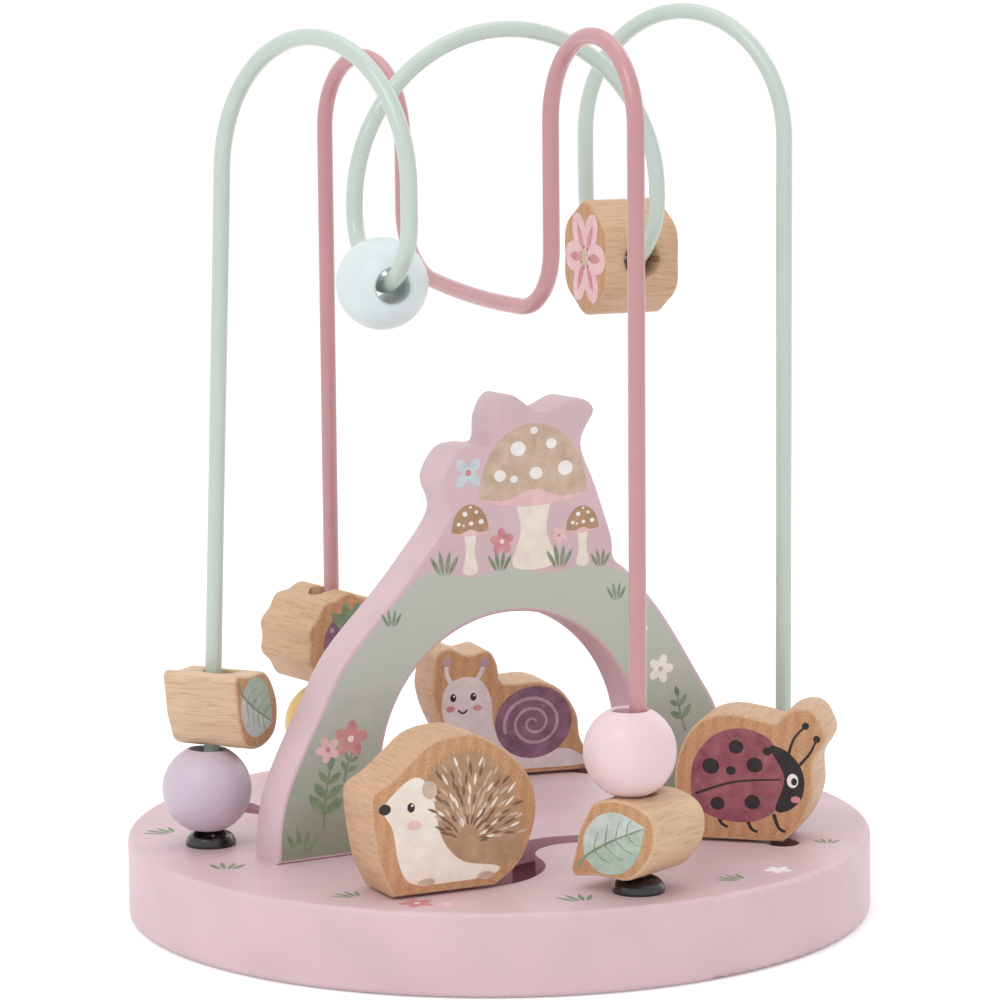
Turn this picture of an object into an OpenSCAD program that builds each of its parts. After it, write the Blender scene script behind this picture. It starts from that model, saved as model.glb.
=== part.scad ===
// Bead maze: a round wooden base with tracks for three animal blocks, an arch panel,
// and two bent wires that carry painted balls and profiled wooden beads.
// Millimetres. Origin at the bottom centre of the base, +Z up, the panel's face looks to -Y.

/* [Base] */
// Diameter of the round base
base_d = 200; // [190:1:240]
// Thickness of the base
base_h = 21.4; // [20:0.1:30]
// Rounding of the base's top and bottom rims
base_round = 1.5; // [0.5:0.1:3]
// Thickness of the cover let into the underside
cover_t = 3; // [2:0.1:4]
// Width of the rim that stands round the cover
cover_rim = 7; // [5:0.5:8]

/* [Tracks] */
// Width of the slot that shows in the deck
slot_w = 8.6; // [8:0.1:11]
// Thickness of the deck on both sides of the slot
shoulder_t = 6; // [5:0.1:8]
// Centre of the front track's left bend, under the hedgehog
front_bend = [-36.5, -35.5]; // [-60:0.5:60]
// Radius of the front track's left bend
front_bend_r = 21.5; // [18:0.5:24]
// Centre of the front track's crest
front_crest = [1.5, -41.5]; // [-60:0.5:60]
// Centre of the front track's right end bend, under the ladybird
front_end = [35.5, -57]; // [-70:0.5:70]
// Centre of the rear track's right bend, under the snail
rear_bend = [36, 34]; // [-60:0.5:60]
// Radius of the rear track's right bend
rear_bend_r = 25; // [20:0.5:27]
// Centre of the rear track's crest
rear_crest = [-1.5, 41.5]; // [-60:0.5:60]
// Centre of the rear track's left end bend
rear_end = [-35.5, 57]; // [-70:0.5:70]

/* [Sliders] */
// Diameter of the flange that runs under the deck
flange_d = 17; // [14:0.5:20]
// Thickness of the flange
flange_t = 5; // [4:0.1:6]
// Diameter of the screw through a slider
block_screw_d = 3.5; // [3:0.1:4]
// Length of that screw inside the block
block_screw_grip = 14; // [10:0.5:18]

/* [Animal blocks] */
// Thickness of the blocks
block_t = 17; // [13:0.5:20]
// Gap between the deck and the blocks
block_lift = 0.8; // [0.5:0.1:1.5]
// Length of the hedgehog
hedgehog_l = 46; // [38:0.5:50]
// Height of the hedgehog
hedgehog_h = 39.7; // [34:0.5:44]
// Length of the snail
snail_l = 48.7; // [40:0.5:52]
// Height of the snail
snail_h = 37.8; // [32:0.5:42]
// Length of the ladybird
ladybird_l = 40.5; // [34:0.5:44]
// Height of the ladybird
ladybird_h = 36.1; // [30:0.5:40]

/* [Arch panel] */
// Thickness of the panel
panel_t = 13; // [10:0.5:16]
// Width of the panel across its feet
panel_w = 141; // [130:1:150]
// Height of the panel above the deck
panel_h = 118; // [105:1:130]
// Plan position of the panel's middle
panel_at = [-2.2, -4.5]; // [-10:0.1:10]
// Width of the opening
opening_w = 79; // [66:1:84]
// Height of the opening above the deck
opening_h = 60; // [50:1:64]
// Diameter of the screws that hold the panel from below
panel_screw_d = 4; // [3:0.1:5]
// Length of those screws inside the panel
panel_screw_grip = 20; // [14:1:26]

/* [Wires] */
// Diameter of both wires
wire_d = 4.4; // [3.5:0.1:5]
// Plan position of the mint wire's left foot
mint_left_foot = [-76.5, 20.5]; // [-80:0.5:80]
// Plan position of the mint wire's right foot
mint_right_foot = [78, -21.5]; // [-80:0.5:80]
// Plan position where the mint wire's left leg meets its hump
mint_left_top = [-69, 22]; // [-80:0.5:80]
// Plan position of the mint wire's front strand on the left
mint_left_front = [-52.5, -49]; // [-80:0.5:80]
// Plan position of the mint wire's rear strand on the left
mint_left_rear = [-42, -0.5]; // [-80:0.5:80]
// Plan position of the mint wire's front strand on the right
mint_right_front = [47, -6.5]; // [-80:0.5:80]
// Plan position of the mint wire's rear strand on the right
mint_right_rear = [53.5, 41]; // [-80:0.5:80]
// Height where the left hump of the mint wire starts
mint_left_spring = 198; // [192:0.5:204]
// Height where the middle hump of the mint wire starts
mint_middle_spring = 190.5; // [190:0.5:204]
// Height where the right hump of the mint wire starts
mint_right_spring = 205; // [192:0.5:208]
// Height where the mint wire's troughs start
mint_trough_z = 189.5; // [180:0.5:190]
// Drop of the mint wire's left trough
mint_left_drop = 17.5; // [15:0.5:20]
// Drop of the mint wire's right trough
mint_right_drop = 20; // [15:0.5:22]
// Plan position of the pink wire's front foot
pink_front_foot = [-8.5, -84.5]; // [-88:0.5:88]
// Plan position of the pink wire's front strand
pink_front_strand = [-6.5, -40.5]; // [-80:0.5:80]
// Plan position of the pink wire's rear strand
pink_rear_strand = [-6, 39]; // [-80:0.5:80]
// Plan position of the pink wire's rear foot
pink_rear_foot = [-8, 80.5]; // [-88:0.5:88]
// Height where the front hump of the pink wire starts
pink_front_spring = 212.5; // [204:0.5:218]
// Height where the rear hump of the pink wire starts
pink_rear_spring = 206; // [200:0.5:214]
// Height where the pink wire's trough starts
pink_trough_z = 183; // [176:0.5:195]
// Drop of the pink wire's trough
pink_drop = 18; // [14:0.5:24]
// Height by which each end of the pink wire's trough lies under or over its middle
pink_tilt = 3; // [0:0.5:4]
// Diameter of a collar at the deck
collar_d = 13.4; // [11:0.1:15]
// Height of a collar
collar_h = 4.2; // [4:0.1:5]
// Height of the upright rim under a collar's dome
collar_rim_h = 0.6; // [0.4:0.1:1.5]

/* [Beads] */
// Diameter of the painted balls
ball_d = 23.6; // [22:0.1:25]
// Diameter of the bore through every bead but the flower
bore_d = 9.1; // [8.8:0.1:10]
// Width of the leaf beads
leaf_w = 26.5; // [22:0.5:28]
// Height of the leaf beads
leaf_h = 21; // [19:0.5:24]
// Length of the leaf beads
leaf_l = 21; // [17:0.5:24]
// Diameter of the berry bead over its scallops
berry_d = 28.5; // [25:0.5:30]
// Length of the berry bead
berry_l = 26; // [18:0.5:28]
// Diameter of the flower bead over its petals
flower_d = 31.5; // [27:0.5:33]
// Length of the flower bead
flower_l = 21.5; // [16:0.5:23]
// Diameter of the flower bead's bore
flower_bore_d = 10.2; // [10:0.1:12]

/* [Hidden] */
$fn = 64;

// Clearances
// Overrun of every cut past the face that it opens
over = 1;
// Gap of a running or resting pair
gap = 0.3;
// Gap of a screw or wire in its hole
hole_gap = 0.1;
// Gap that the flanges have on each side in the channel
channel_gap = 0.5;

// Base
deck_r = base_d / 2;
cover_r = deck_r - cover_rim;
channel_w = flange_d + 2 * channel_gap;
channel_top = base_h - shoulder_t;
cover_lift = 0.2;
cover_screw_d = 3;
cover_screw_l = 9;
cover_screw_count = 4;
cover_screw_turn = 30;
cover_screw_edge = 5;

// Screw heads, as shares of the shank's diameter
head_d_share = 2;
head_t_share = 0.6;

// Tracks: each is a bend, a crest that curves the other way, a straight and an end bend
front_start = 197;
front_stop = -8;
rear_start = 12;
rear_stop = 172;
hedgehog_turn = 237;
snail_turn = 90;
ladybird_turn = 27.5;

// Headings of the blocks' printed faces in the plan
hedgehog_heading = -3.5;
snail_heading = -11.6;
ladybird_heading = -45.8;

// Outlines of the blocks from the right foot over the top to the left foot,
// as shares of the block's length and height
hedgehog_shares = [
    [0.246, 0], [0.393, 0.126], [0.483, 0.34], [0.5, 0.509], [0.465, 0.668], [0.357, 0.829],
    [0.161, 0.977], [0.009, 1], [-0.143, 0.962], [-0.263, 0.856], [-0.38, 0.748],
    [-0.48, 0.68], [-0.5, 0.597], [-0.483, 0.39], [-0.441, 0.166], [-0.372, 0]
];
snail_shares = [
    [0.487, 0], [0.5, 0.053], [0.417, 0.241], [0.392, 0.439], [0.296, 0.622], [0.164, 0.698],
    [0.02, 0.698], [-0.074, 0.72], [-0.099, 0.86], [-0.154, 0.96], [-0.277, 0.939], [-0.39, 1],
    [-0.478, 0.939], [-0.489, 0.794], [-0.5, 0.661], [-0.462, 0.471], [-0.359, 0.212], [-0.246, 0]
];
ladybird_shares = [
    [0.222, 0], [0.341, 0.139], [0.422, 0.363], [0.42, 0.596], [0.481, 0.72], [0.5, 0.817],
    [0.432, 0.967], [0.333, 1], [0.235, 0.956], [0.173, 0.884], [0.069, 0.906], [-0.136, 0.939],
    [-0.296, 0.898], [-0.407, 0.784], [-0.484, 0.582], [-0.5, 0.385], [-0.457, 0.166], [-0.358, 0]
];

// Outline of the panel from its right foot over the lobed top to its left foot,
// as shares of half its width and of its height
panel_shares = [
    [1, 0], [0.98, 0.12], [0.926, 0.233], [0.844, 0.316], [0.678, 0.469], [0.529, 0.572],
    [0.461, 0.608], [0.448, 0.662], [0.379, 0.78], [0.316, 0.879], [0.374, 0.954], [0.288, 0.982],
    [0.142, 0.956], [0.009, 1], [-0.057, 0.955], [-0.072, 0.893], [-0.157, 0.892], [-0.23, 0.88],
    [-0.291, 0.819], [-0.262, 0.742], [-0.393, 0.638], [-0.509, 0.562], [-0.705, 0.442],
    [-0.816, 0.329], [-0.939, 0.189], [-0.987, 0.097], [-1, 0]
];
// Places of the panel's screws across a foot, as shares of the foot's width
panel_screw_shares = [0.3, 0.7];

// Outline of the leaf beads, as shares of their width and height
leaf_shares = [
    [0.04, 0], [0.127, 0.005], [0.28, 0.034], [0.456, 0.036], [0.63, 0.031], [0.76, 0.098],
    [0.886, 0.255], [0.987, 0.472], [1, 0.698], [0.95, 0.846], [0.835, 0.94], [0.68, 0.991],
    [0.53, 1], [0.38, 0.971], [0.25, 0.897], [0.165, 0.714], [0.1, 0.57], [0.04, 0.268], [0, 0.083]
];
// Height of the leaf's flat edge over the tip of its stem
leaf_foot_share = 0.03;

// Scallops of the berry and the flower, and their depth as a share of the radius
berry_lobes = 10;
berry_depth_share = 0.07;
flower_lobes = 6;
flower_depth_share = 0.08;

// Points on each span of a curved outline, round a scallop, on a bend of a track, round a
// track's end, on a hump, a trough's corner, its bottom and a knee, round a collar's dome,
// and sides of a wire
span_steps = 5;
lobe_steps = 12;
track_steps = 24;
end_steps = 12;
hump_steps = 18;
corner_steps = 5;
bottom_steps = 8;
knee_steps = 2;
dome_steps = 8;
wire_sides = 12;

// Wires: tightness of a trough's corners as a share of its drop
left_corner_share = 0.7;
right_corner_share = 0.8;
pink_corner_share = 0.95;
stub_top = base_h + collar_h + 2 * gap;
knee_r = 30;
lock_d = 10;
lock_t = 1;
lock_room = 4;
wire_end_z = cover_t + lock_t;

// Balls and beads lie against the wire on one side, a gap apart
lean = bore_d / 2 - wire_d / 2 - gap;
// Plan directions in which the beads lean away from their wire
lavender_lean = 210;
left_leaf_lean = -30;
pink_ball_lean = 150;
front_leaf_lean = 60;
yellow_lean = 150;
berry_lean = 150;
// Plan directions in which the profiled beads' printed faces look
left_leaf_heading = -52;
front_leaf_heading = 201;
berry_heading = -85;
// Softened mouths of the bores
mouth = 0.8;

// Half the length of a ball's bore, and half the height between the rims of its softened mouths
ball_reach = sqrt(ball_d * ball_d - bore_d * bore_d) / 2;
mouth_tip = ball_reach - mouth - bore_d / 2;
ball_rim = (mouth_tip + sqrt(ball_d * ball_d / 2 - mouth_tip * mouth_tip)) / 2;
// Heights of the beads that lie on a collar and of those that lie on them
seat_z = base_h + collar_h + gap;
low_ball_z = seat_z + ball_reach;
left_leaf_z = low_ball_z + ball_rim + gap;
berry_z = low_ball_z + ball_rim + gap + berry_d / 2;
leaf_foot = leaf_foot_share * leaf_h;
front_leaf_z = seat_z - leaf_foot;
pink_ball_z = front_leaf_z + leaf_h + gap + ball_rim;

// Curves

// Point on a smooth curve between p1 and p2
function curve_point(p0, p1, p2, p3, t) =
    (2 * p1 + (p2 - p0) * t + (2 * p0 - 5 * p1 + 4 * p2 - p3) * t * t
        + (3 * p1 - p0 - 3 * p2 + p3) * t * t * t) / 2;

// Smooth curve through points that ends at the first and the last one
function open_curve(p) = let (last = len(p) - 1) concat(
    [for (i = [0 : last - 1], k = [0 : span_steps - 1])
        curve_point(p[max(i - 1, 0)], p[i], p[i + 1], p[min(i + 2, last)], k / span_steps)],
    [p[last]]
);

// Smooth closed curve through points
function closed_curve(p) = let (n = len(p))
    [for (i = [0 : n - 1], k = [0 : span_steps - 1])
        curve_point(p[(i + n - 1) % n], p[i], p[(i + 1) % n], p[(i + 2) % n], k / span_steps)];

// Round outline with scallops
function lobed_curve(d, lobes, depth_share) = let (n = lobes * lobe_steps, r = d / 2)
    [for (i = [0 : n - 1]) let (a = 360 * i / n)
        r * (1 - depth_share * (1 - cos(lobes * a)) / 2) * [cos(a), sin(a)]];

function scaled(shares, w, h) = [for (s = shares) [s[0] * w, s[1] * h]];
function polar(r, a) = [r * cos(a), r * sin(a)];
function heading(v) = atan2(v[1], v[0]);

// Tracks

crest_r = norm(front_crest - front_bend) - front_bend_r;
hedgehog_at = front_bend + polar(front_bend_r, hedgehog_turn);
snail_at = rear_bend + polar(rear_bend_r, snail_turn);
ladybird_at = front_end + polar(crest_r, ladybird_turn);

// Points on an arc round c from angle a to angle b, without the first one
function arc(c, r, a, b, n) = [for (i = [1 : n]) c + polar(r, a + (b - a) * i / n)];

// Centre line of a track: bend c1, crest c2 that curves the other way, straight and end bend c3
function track_line(c1, r1, c2, c3, start, stop) =
    let (r2 = norm(c2 - c1) - r1, join = heading(c2 - c1), side = heading(c3 - c2) + 90)
    concat(
        [c1 + polar(r1, start)],
        arc(c1, r1, start, join + (join < start ? 360 : 0), track_steps),
        arc(c2, r2, join + 180, side, track_steps),
        [c3 + polar(r2, side)],
        arc(c3, r2, side, stop, track_steps)
    );

// Heading of a line at its point i
function way(line, i) = heading(line[min(i + 1, len(line) - 1)] - line[max(i - 1, 0)]);

// Outline of a band of width w round a centre line, with round ends
function band(line, w) = let (last = len(line) - 1) concat(
    [for (i = [0 : last]) line[i] + polar(w / 2, way(line, i) + 90)],
    [for (k = [1 : end_steps - 1]) line[last] + polar(w / 2, way(line, last) + 90 - 180 * k / end_steps)],
    [for (i = [last : -1 : 0]) line[i] + polar(w / 2, way(line, i) - 90)],
    [for (k = [1 : end_steps - 1]) line[0] + polar(w / 2, way(line, 0) - 90 - 180 * k / end_steps)]
);

front_line = track_line(front_bend, front_bend_r, front_crest, front_end, front_start, front_stop);
rear_line = track_line(rear_bend, rear_bend_r, rear_crest, rear_end, rear_start, rear_stop);

// Both tracks at width w between two heights
module all_tracks(w, z0, z1) {
    for (line = [front_line, rear_line])
        translate([0, 0, z0]) linear_extrude(z1 - z0) polygon(band(line, w));
}

// Screws

// Countersunk screw with its head's face at the origin, pointing up
module screw(d, l) {
    cylinder(h = head_t_share * d, d1 = head_d_share * d, d2 = d);
    cylinder(h = l, d = d);
}

module screw_hole(d, l) {
    translate([0, 0, -over]) cylinder(h = over + hole_gap, d = head_d_share * d + 2 * hole_gap);
    translate([0, 0, hole_gap])
        cylinder(h = head_t_share * d, d1 = head_d_share * d + 2 * hole_gap, d2 = d + 2 * hole_gap);
    cylinder(h = l, d = d + 2 * hole_gap);
}

// Base

wire_feet = [mint_left_foot, mint_right_foot, pink_front_foot, pink_rear_foot];

module at_cover_screws(z) {
    for (i = [0 : cover_screw_count - 1])
        rotate([0, 0, cover_screw_turn + 360 * i / cover_screw_count])
            translate([cover_r - cover_screw_edge, 0, z]) children();
}

// Plan places of the panel's screws in both feet
foot_w = (panel_w - opening_w) / 2;
panel_screw_x = [for (side = [-1, 1], s = panel_screw_shares)
    panel_at[0] + side * (opening_w / 2 + foot_w * s)];
panel_screw_z = cover_t + 2 * gap;

module at_panel_screws(z) {
    for (x = panel_screw_x) translate([x, panel_at[1], z]) children();
}

module base_disc() {
    inner = deck_r - base_round;
    rotate_extrude($fn = 180) {
        square([inner, base_h]);
        translate([0, base_round]) square([deck_r, base_h - 2 * base_round]);
        for (z = [base_round, base_h - base_round])
            translate([inner, z]) circle(r = base_round, $fn = 32);
    }
}

module base_deck() {
    color("pink") difference() {
        base_disc();
        translate([0, 0, -over]) cylinder(h = cover_t + over, r = cover_r, $fn = 180);
        all_tracks(slot_w, channel_top - over, base_h + over);
        all_tracks(channel_w, cover_t - over, channel_top);
        for (p = wire_feet) translate([p[0], p[1], 0]) {
            translate([0, 0, cover_t - over]) cylinder(h = lock_room + over, d = lock_d + 2 * gap);
            translate([0, 0, cover_t]) cylinder(h = base_h, d = wire_d + 2 * hole_gap);
        }
        at_cover_screws(0) cylinder(h = cover_screw_l + over, d = cover_screw_d + 2 * hole_gap);
        at_panel_screws(cover_t - over) cylinder(
            h = panel_screw_z - cover_t + over + hole_gap,
            d = head_d_share * panel_screw_d + 2 * gap
        );
        at_panel_screws(panel_screw_z) screw_hole(panel_screw_d, base_h);
    }
}

module base_cover() {
    color("tan") difference() {
        translate([0, 0, cover_lift])
            cylinder(h = cover_t - cover_lift, r = cover_r - gap, $fn = 180);
        at_cover_screws(cover_lift) screw_hole(cover_screw_d, cover_t + over);
    }
}

module cover_screws() {
    color("silver") at_cover_screws(cover_lift) screw(cover_screw_d, cover_screw_l);
}

// Arch panel

module panel_outline() {
    opening_r = opening_w / 2;
    difference() {
        polygon(open_curve(scaled(panel_shares, panel_w / 2, panel_h)));
        translate([0, opening_h - opening_r]) circle(r = opening_r, $fn = 128);
        translate([-opening_r, -over]) square([opening_w, opening_h - opening_r + over]);
    }
}

module arch_panel() {
    color("pink") difference() {
        translate([panel_at[0], panel_at[1] + panel_t / 2, base_h]) rotate([90, 0, 0])
            linear_extrude(panel_t) panel_outline();
        at_panel_screws(base_h - over)
            cylinder(h = panel_screw_grip + over + hole_gap, d = panel_screw_d + 2 * hole_gap);
    }
}

module panel_screws() {
    color("silver") at_panel_screws(panel_screw_z)
        screw(panel_screw_d, base_h - panel_screw_z + panel_screw_grip);
}

// Wires

// Point at x and z in the upright plane through plan points p and q, from midway between them
function in_plane(p, q, x, z) = let (v = (p + q) / 2 + polar(x, heading(q - p))) [v[0], v[1], z];

// Half round hump from plan point p to q that starts at height z
function hump(p, q, z) = let (a = norm(q - p) / 2)
    [for (i = [0 : hump_steps]) let (t = 180 - 180 * i / hump_steps)
        in_plane(p, q, a * cos(t), z + a * sin(t))];

// Radius of the arc at the bottom of a trough with half span a
function crown_r(a, drop, corner) =
    (pow(a - corner, 2) + drop * drop - corner * corner) / (2 * (drop - corner));

// Trough from plan point p to q: an arc at the bottom and a tighter one at each end, with
// the end at q higher by twice the tilt
function trough(p, q, z, drop, corner_share, tilt = 0) = let (
        a = norm(q - p) / 2,
        corner = corner_share * drop,
        r = crown_r(a, drop, corner),
        half = atan2(a - corner, r - drop),
        line = concat(
            [[-a, 0]],
            arc([corner - a, 0], corner, 180, 270 - half, corner_steps),
            arc([0, r - drop], r, 270 - half, 270 + half, bottom_steps),
            arc([a - corner, 0], corner, 270 + half, 360, corner_steps)
        ))
    [for (v = line) in_plane(p, q, v[0], z + v[1] + tilt * v[0] / a)];

// The mint wire's left leg leans: two soft knees with a straight between them
lean_run = norm(mint_left_top - mint_left_foot);
lean_rise = mint_left_spring - stub_top;
lean_way = heading(mint_left_top - mint_left_foot);
lean_angle = asin(2 * knee_r / norm([lean_rise, 2 * knee_r - lean_run]))
    - atan2(2 * knee_r - lean_run, lean_rise);
knee_run = knee_r * (1 - cos(lean_angle));
knee_rise = knee_r * sin(lean_angle);
leaning_leg = let (
        line = concat(
            [[0, 0]],
            arc([knee_r, 0], knee_r, 180, 180 - lean_angle, knee_steps),
            [[lean_run - knee_run, lean_rise - knee_rise]],
            arc([lean_run - knee_r, lean_rise], knee_r, -lean_angle, -lean_angle / knee_steps, knee_steps - 1)
        ))
    [for (v = line) let (f = mint_left_foot + polar(v[0], lean_way)) [f[0], f[1], stub_top + v[1]]];

function unit(v) = v / norm(v);
function direction(line, i) = unit(line[min(i + 1, len(line) - 1)] - line[max(i - 1, 0)]);
// Part of v that is square to the unit direction d
function square_to(v, d) = unit(v - (v * d) * d);

// One side direction for each point of a line, each turned as little as can be from the last
function side_ways(line) = [
    for (i = 0, n = square_to([1, 0, 0], direction(line, 0)); i < len(line);
        i = i + 1, n = square_to(n, direction(line, min(i, len(line) - 1)))) n
];

// Round tube along a line of points
module tube(line) {
    ways = side_ways(line);
    last = len(line) - 1;
    points = [for (i = [0 : last]) let (b = cross(direction(line, i), ways[i]))
        for (k = [0 : wire_sides - 1]) let (v = polar(wire_d / 2, 360 * k / wire_sides))
            line[i] + v[0] * ways[i] + v[1] * b];
    walls = [for (i = [0 : last - 1], k = [0 : wire_sides - 1])
        let (n = (k + 1) % wire_sides, low = i * wire_sides, high = low + wire_sides)
        each [[low + k, high + k, low + n], [low + n, high + k, high + n]]];
    caps = [
        [for (k = [0 : wire_sides - 1]) k],
        [for (k = [wire_sides - 1 : -1 : 0]) last * wire_sides + k]
    ];
    polyhedron(points, concat(walls, caps));
}

function foot_end(foot) = [foot[0], foot[1], wire_end_z];

module mint_wire() {
    color("darkseagreen") tube(concat(
        [foot_end(mint_left_foot)],
        leaning_leg,
        hump(mint_left_top, mint_left_front, mint_left_spring),
        trough(mint_left_front, mint_left_rear, mint_trough_z, mint_left_drop, left_corner_share),
        hump(mint_left_rear, mint_right_front, mint_middle_spring),
        trough(mint_right_front, mint_right_rear, mint_trough_z, mint_right_drop, right_corner_share),
        hump(mint_right_rear, mint_right_foot, mint_right_spring),
        [foot_end(mint_right_foot)]
    ));
}

module pink_wire() {
    color("palevioletred") tube(concat(
        [foot_end(pink_front_foot)],
        hump(pink_front_foot, pink_front_strand, pink_front_spring),
        trough(pink_front_strand, pink_rear_strand, pink_trough_z, pink_drop, pink_corner_share, pink_tilt),
        hump(pink_rear_strand, pink_rear_foot, pink_rear_spring),
        [foot_end(pink_rear_foot)]
    ));
}

module wire_locks() {
    color("silver") for (p = wire_feet) translate([p[0], p[1], cover_t + lock_room - lock_t])
        difference() {
            cylinder(h = lock_t, d = lock_d);
            translate([0, 0, -over]) cylinder(h = lock_t + 2 * over, d = wire_d + 2 * hole_gap);
        }
}

// Domed collar that closes the hole round a wire's foot
module collar(foot) {
    inner_r = wire_d / 2 + hole_gap;
    span = collar_d / 2 - inner_r;
    rise = collar_h - collar_rim_h;
    dome = [for (i = [0 : dome_steps]) let (a = 90 * i / dome_steps)
        [inner_r + span * cos(a), collar_rim_h + rise * sin(a)]];
    color("black") translate([foot[0], foot[1], base_h]) rotate_extrude()
        polygon(concat([[inner_r, 0], [inner_r + span, 0]], dome));
}

module mint_left_collar() { collar(mint_left_foot); }
module mint_right_collar() { collar(mint_right_foot); }
module pink_front_collar() { collar(pink_front_foot); }
module pink_rear_collar() { collar(pink_rear_foot); }

// Beads

// Place on a leg at height z, with the bead leaning away in the plan direction a
function on_leg(foot, z, a) = [foot[0] + lean * cos(a), foot[1] + lean * sin(a), z];
function on_left_leg(z, a) =
    let (run = polar(knee_run + (z - stub_top - knee_rise) * tan(lean_angle), lean_way))
    on_leg(mint_left_foot + run, z, a);

// Bore of diameter d along Z, of length l round the origin, with softened mouths
module bore(l, d = bore_d) {
    cylinder(h = l + 2 * over, d = d, center = true);
    for (side = [0, 1]) mirror([0, 0, side])
        translate([0, 0, l / 2 - mouth])
            cylinder(h = mouth + over, d1 = d, d2 = d + 2 * (mouth + over));
}

// Painted ball with its bore along Z
module ball() {
    difference() {
        sphere(d = ball_d, $fn = 96);
        bore(2 * ball_reach);
    }
}

// Turn the tilt of the left leg without turning the bead round it
module tilt_left() {
    rotate([0, 0, lean_way]) rotate([0, lean_angle, 0]) rotate([0, 0, -lean_way]) children();
}

module lavender_ball() {
    color("plum") translate(on_left_leg(low_ball_z, lavender_lean)) tilt_left() ball();
}

module pink_ball() {
    color("lightpink") translate(on_leg(pink_front_foot, pink_ball_z, pink_ball_lean)) ball();
}

module yellow_ball() {
    color("goldenrod") translate(on_leg(pink_rear_foot, low_ball_z, yellow_lean)) ball();
}

// Bar of length l with its printed end looking in the plan direction a, its outline's
// first axis level and its second one up, round the origin
module bar(l, a) {
    rotate([0, 0, a + 90]) rotate([90, 0, 0])
        translate([0, 0, -l / 2]) linear_extrude(l) children();
}

module leaf_outline() {
    translate([-leaf_w / 2, 0]) polygon(closed_curve(scaled(leaf_shares, leaf_w, leaf_h)));
}

module leaf_bead_left() {
    color("burlywood") translate(on_left_leg(left_leaf_z, left_leaf_lean)) tilt_left() difference() {
        bar(leaf_l, left_leaf_heading) translate([0, leaf_h]) mirror([0, 1]) leaf_outline();
        translate([0, 0, (leaf_h - leaf_foot) / 2]) bore(leaf_h - leaf_foot);
    }
}

module leaf_bead_front() {
    color("burlywood") translate(on_leg(pink_front_foot, front_leaf_z, front_leaf_lean)) difference() {
        bar(leaf_l, front_leaf_heading) leaf_outline();
        translate([0, 0, (leaf_h + leaf_foot) / 2]) bore(leaf_h - leaf_foot);
    }
}

module berry_bead() {
    color("burlywood") translate(on_leg(pink_rear_foot, berry_z, berry_lean)) difference() {
        bar(berry_l, berry_heading) rotate(90)
            polygon(lobed_curve(berry_d, berry_lobes, berry_depth_share));
        bore(berry_d);
    }
}

// Height of a bead's axis over the bottom of a trough of radius r, for a bore d of half length l
function hang(l, d, r) = let (c = sqrt(r * r - l * l)) r - c + wire_d / 2 * r / c - d / 2 + gap;

// Radius of the arc at the bottom of a trough
function trough_r(p, q, drop, corner_share) = crown_r(norm(q - p) / 2, drop, corner_share * drop);

left_trough_r = trough_r(mint_left_front, mint_left_rear, mint_left_drop, left_corner_share);
right_trough_r = trough_r(mint_right_front, mint_right_rear, mint_right_drop, right_corner_share);
// Half the length of the flower's bore, which runs from one valley to the other
flower_reach = flower_d / 2 * (1 - flower_depth_share);
mint_ball_z = mint_trough_z - mint_left_drop + hang(ball_reach, bore_d, left_trough_r);
flower_z = mint_trough_z - mint_right_drop + hang(flower_reach, flower_bore_d, right_trough_r);

// Put a bead at height z in the middle of a trough, its bore along the wire
module on_trough(p, q, z) {
    translate([(p[0] + q[0]) / 2, (p[1] + q[1]) / 2, z]) rotate([0, 0, heading(q - p)])
        rotate([0, 90, 0]) children();
}

module mint_ball() {
    color("lightcyan") on_trough(mint_left_front, mint_left_rear, mint_ball_z) ball();
}

module flower_bead() {
    p = mint_right_front;
    q = mint_right_rear;
    color("burlywood") difference() {
        translate([(p[0] + q[0]) / 2, (p[1] + q[1]) / 2, flower_z])
            bar(flower_l, heading(q - p) + 90) rotate(180 / flower_lobes)
                polygon(lobed_curve(flower_d, flower_lobes, flower_depth_share));
        on_trough(p, q, flower_z) bore(2 * flower_reach, flower_bore_d);
    }
}

// Animals on their sliders

block_z = base_h + block_lift;
slider_z = cover_t + gap;

module block(at, turn, shares, l, h) {
    color("burlywood") difference() {
        translate([at[0], at[1], block_z]) rotate([0, 0, turn]) translate([0, block_t / 2, 0])
            rotate([90, 0, 0]) linear_extrude(block_t) polygon(open_curve(scaled(shares, l, h)));
        translate([at[0], at[1], block_z - over])
            cylinder(h = block_screw_grip + over + hole_gap, d = block_screw_d + 2 * hole_gap);
    }
}

module slider(at) {
    top = block_z - hole_gap;
    color("white") translate([at[0], at[1], slider_z]) difference() {
        union() {
            cylinder(h = flange_t, d = flange_d);
            cylinder(h = top - slider_z, d = slot_w - 2 * gap);
        }
        screw_hole(block_screw_d, base_h);
    }
}

module slider_screw(at) {
    color("silver") translate([at[0], at[1], slider_z + hole_gap])
        screw(block_screw_d, block_z - slider_z - hole_gap + block_screw_grip);
}

module hedgehog_block() { block(hedgehog_at, hedgehog_heading, hedgehog_shares, hedgehog_l, hedgehog_h); }
module hedgehog_slider() { slider(hedgehog_at); }
module hedgehog_screw() { slider_screw(hedgehog_at); }
module snail_block() { block(snail_at, snail_heading, snail_shares, snail_l, snail_h); }
module snail_slider() { slider(snail_at); }
module snail_screw() { slider_screw(snail_at); }
module ladybird_block() { block(ladybird_at, ladybird_heading, ladybird_shares, ladybird_l, ladybird_h); }
module ladybird_slider() { slider(ladybird_at); }
module ladybird_screw() { slider_screw(ladybird_at); }

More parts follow.
